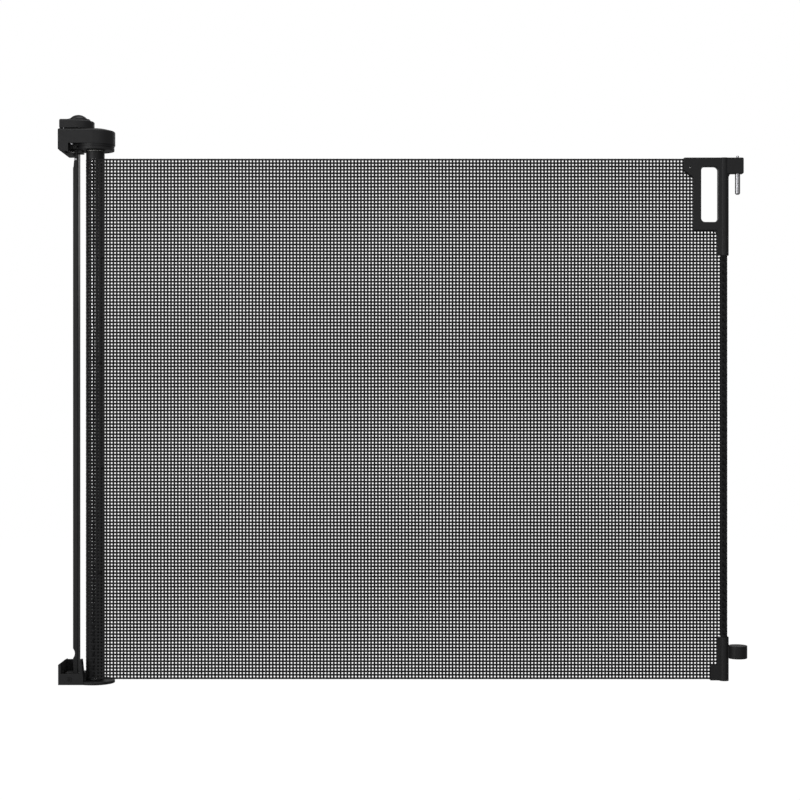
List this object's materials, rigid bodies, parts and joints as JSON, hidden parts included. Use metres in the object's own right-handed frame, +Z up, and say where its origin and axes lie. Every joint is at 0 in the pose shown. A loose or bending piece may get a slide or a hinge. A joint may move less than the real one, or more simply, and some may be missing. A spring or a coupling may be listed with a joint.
{
  "type": "retractable mesh pet gate",
  "caption": "Retractable mesh barrier on a spring roller with wall brackets, a press-and-turn lock knob and a gripped pull bar whose pin hooks on a catch across a doorway.",
  "frame": {"origin": "centre of the lower bracket's wall face", "axes": "+X out from the wall across the doorway, +Y away from the side the cloth is on, +Z up"},
  "size_m": [1.0412, 0.06, 0.864],
  "materials": {
    "matte_black": "fine satin grain",
    "gloss_black": "semi-gloss",
    "coated_post": "black powder coat on metal",
    "mesh_cloth": "coated polyester net, square holes",
    "steel": "zinc plated",
    "tube_alloy": "mill finish",
    "acetal": "natural acetal"
  },
  "bodies": {
    "frame": {"lower_wall_bracket": "matte_black", "bracket_lock_screw": "coated_post", "upper_wall_bracket": "matte_black", "back_post": "coated_post", "hook_peg": "steel", "post_screws": "coated_post", "foot_plate": "matte_black", "spring_arbor": "steel", "arbor_collar": "acetal", "torsion_spring": "steel", "head_base": "matte_black", "top_bush": "acetal", "pawl_pin": "steel", "pawl_spring": "steel", "head_shell": "matte_black", "head_screws": "steel", "lock_cap": "matte_black", "cap_screws": "steel", "knob_collar": "gloss_black", "knob_spring": "steel", "mesh_panel_01": "mesh_cloth"},
    "roller": {"roller_tube": "tube_alloy", "mesh_roll": "mesh_cloth", "top_plug": "matte_black", "bottom_plug": "matte_black", "bottom_bush": "acetal", "ratchet_wheel": "acetal", "ratchet_screw": "steel"},
    "knob_slider": {"knob_washer": "steel"},
    "knob_turner": {"lock_knob": "gloss_black", "knob_spindle": "steel", "lock_cam": "acetal"},
    "pawl_arm": {"lock_pawl": "acetal"},
    "pull_bar_set": {"pull_bar": "coated_post", "mesh_hem": "mesh_cloth", "handle_front": "matte_black", "handle_rear": "matte_black", "handle_screws": "steel", "hook_pin": "steel", "lower_fitting_front": "matte_black", "lower_fitting_rear": "matte_black", "fitting_screws": "steel", "mesh_panel_11": "mesh_cloth"},
    "cloth_strip_02": {"mesh_panel_02": "mesh_cloth"},
    "cloth_strip_03": {"mesh_panel_03": "mesh_cloth"},
    "cloth_strip_04": {"mesh_panel_04": "mesh_cloth"},
    "cloth_strip_05": {"mesh_panel_05": "mesh_cloth"},
    "cloth_strip_06": {"mesh_panel_06": "mesh_cloth"},
    "cloth_strip_07": {"mesh_panel_07": "mesh_cloth"},
    "cloth_strip_08": {"mesh_panel_08": "mesh_cloth"},
    "cloth_strip_09": {"mesh_panel_09": "mesh_cloth"},
    "cloth_strip_10": {"mesh_panel_10": "mesh_cloth"}
  },
  "joints": [
    {"name": "pull_bar_slide", "type": "slide", "parent": "frame", "child": "pull_bar_set", "axis": [1, 0, 0], "range_m": [-0.87, 0], "deforming": ["mesh_panel_01", "mesh_panel_11"]},
    {"name": "roller_spin", "type": "hinge", "parent": "frame", "child": "roller", "pos_m": [0.0515, 0, 0], "axis": [0, 0, 1], "range_deg": [-2880.5, 0]},
    {"name": "knob_press", "type": "slide", "parent": "frame", "child": "knob_slider", "axis": [0, 0, -1], "range_m": [0, 0.004], "stiffness_N_per_m": 1500, "springref_m": -0.002, "deforming": ["knob_spring"]},
    {"name": "knob_turn", "type": "hinge", "parent": "knob_slider", "child": "knob_turner", "pos_m": [0.026, 0, 0.8], "axis": [0, 0, 1], "range_deg": [0, 90]},
    {"name": "pawl_swing", "type": "hinge", "parent": "frame", "child": "pawl_arm", "pos_m": [0.04709, -0.02197, 0.8], "axis": [0, 0, -1], "range_deg": [0, 12]},
    {"name": "cloth_slide_02", "type": "slide", "parent": "frame", "child": "cloth_strip_02", "axis": [1, 0, 0], "range_m": [-0.0872, 0], "deforming": ["mesh_panel_02"]},
    {"name": "cloth_slide_03", "type": "slide", "parent": "frame", "child": "cloth_strip_03", "axis": [1, 0, 0], "range_m": [-0.1742, 0], "deforming": ["mesh_panel_03"]},
    {"name": "cloth_slide_04", "type": "slide", "parent": "frame", "child": "cloth_strip_04", "axis": [1, 0, 0], "range_m": [-0.2612, 0], "deforming": ["mesh_panel_04"]},
    {"name": "cloth_slide_05", "type": "slide", "parent": "frame", "child": "cloth_strip_05", "axis": [1, 0, 0], "range_m": [-0.3482, 0], "deforming": ["mesh_panel_05"]},
    {"name": "cloth_slide_06", "type": "slide", "parent": "frame", "child": "cloth_strip_06", "axis": [1, 0, 0], "range_m": [-0.4352, 0], "deforming": ["mesh_panel_06"]},
    {"name": "cloth_slide_07", "type": "slide", "parent": "frame", "child": "cloth_strip_07", "axis": [1, 0, 0], "range_m": [-0.5222, 0], "deforming": ["mesh_panel_07"]},
    {"name": "cloth_slide_08", "type": "slide", "parent": "frame", "child": "cloth_strip_08", "axis": [1, 0, 0], "range_m": [-0.6092, 0], "deforming": ["mesh_panel_08"]},
    {"name": "cloth_slide_09", "type": "slide", "parent": "frame", "child": "cloth_strip_09", "axis": [1, 0, 0], "range_m": [-0.6962, 0], "deforming": ["mesh_panel_09"]},
    {"name": "cloth_slide_10", "type": "slide", "parent": "frame", "child": "cloth_strip_10", "axis": [1, 0, 0], "range_m": [-0.7832, 0], "deforming": ["mesh_panel_10"]}
  ],
  "couplings": [
    {"joint": "roller_spin", "follows": "pull_bar_slide", "rad_per_m": 57.776},
    {"joint": "pawl_swing", "follows": "knob_turn", "ratio": 0.13333},
    {"joint": "cloth_slide_02", "follows": "pull_bar_slide", "ratio": 0.1},
    {"joint": "cloth_slide_03", "follows": "pull_bar_slide", "ratio": 0.2},
    {"joint": "cloth_slide_04", "follows": "pull_bar_slide", "ratio": 0.3},
    {"joint": "cloth_slide_05", "follows": "pull_bar_slide", "ratio": 0.4},
    {"joint": "cloth_slide_06", "follows": "pull_bar_slide", "ratio": 0.5},
    {"joint": "cloth_slide_07", "follows": "pull_bar_slide", "ratio": 0.6},
    {"joint": "cloth_slide_08", "follows": "pull_bar_slide", "ratio": 0.7},
    {"joint": "cloth_slide_09", "follows": "pull_bar_slide", "ratio": 0.8},
    {"joint": "cloth_slide_10", "follows": "pull_bar_slide", "ratio": 0.9}
  ]
}
